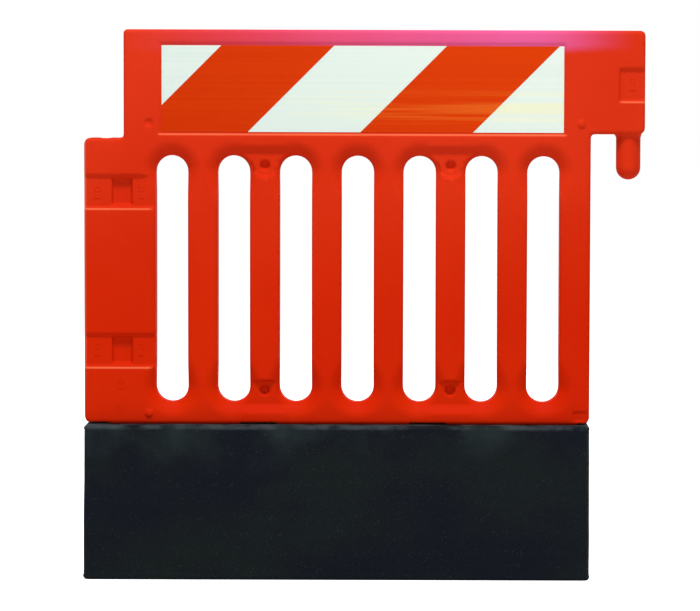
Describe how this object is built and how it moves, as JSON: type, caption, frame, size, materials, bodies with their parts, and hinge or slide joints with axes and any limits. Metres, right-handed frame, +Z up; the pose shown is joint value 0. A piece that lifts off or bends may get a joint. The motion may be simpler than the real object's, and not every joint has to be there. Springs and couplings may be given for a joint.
{
  "type": "pedestrian barrier",
  "caption": "Upright pedestrian barrier: a slotted moulded panel with a striped reflective board, on a full-width ballast base, with a coupling peg at one end and a socket at the other.",
  "frame": {"origin": "centre of the ballast base's underside, on the floor", "axes": "+X along the panel towards the coupling arm and its peg, +Y from the front to the back, +Z up"},
  "size_m": [1.0215, 0.1594, 1],
  "materials": {
    "panel_plastic": "satin",
    "reflective_white": "satin",
    "reflective_orange": "satin",
    "ballast_rubber": "matte",
    "zinc_steel": "satin",
    "insert_brass": "satin"
  },
  "bodies": {
    "base": {"ballast_base": "ballast_rubber", "fixing_screws": "zinc_steel", "fixing_washers": "zinc_steel"},
    "panel": {"panel_body": "panel_plastic", "threaded_inserts": "insert_brass", "front_reflective_sheet": "reflective_white", "rear_reflective_sheet": "reflective_white", "front_orange_film_left": "reflective_orange", "front_orange_film_right": "reflective_orange", "rear_orange_film_left": "reflective_orange", "rear_orange_film_right": "reflective_orange"}
  },
  "joints": [
    {"name": "panel_lift", "type": "slide", "parent": "base", "child": "panel", "axis": [0, 0, 1], "range_m": [0, 0.09]}
  ]
}
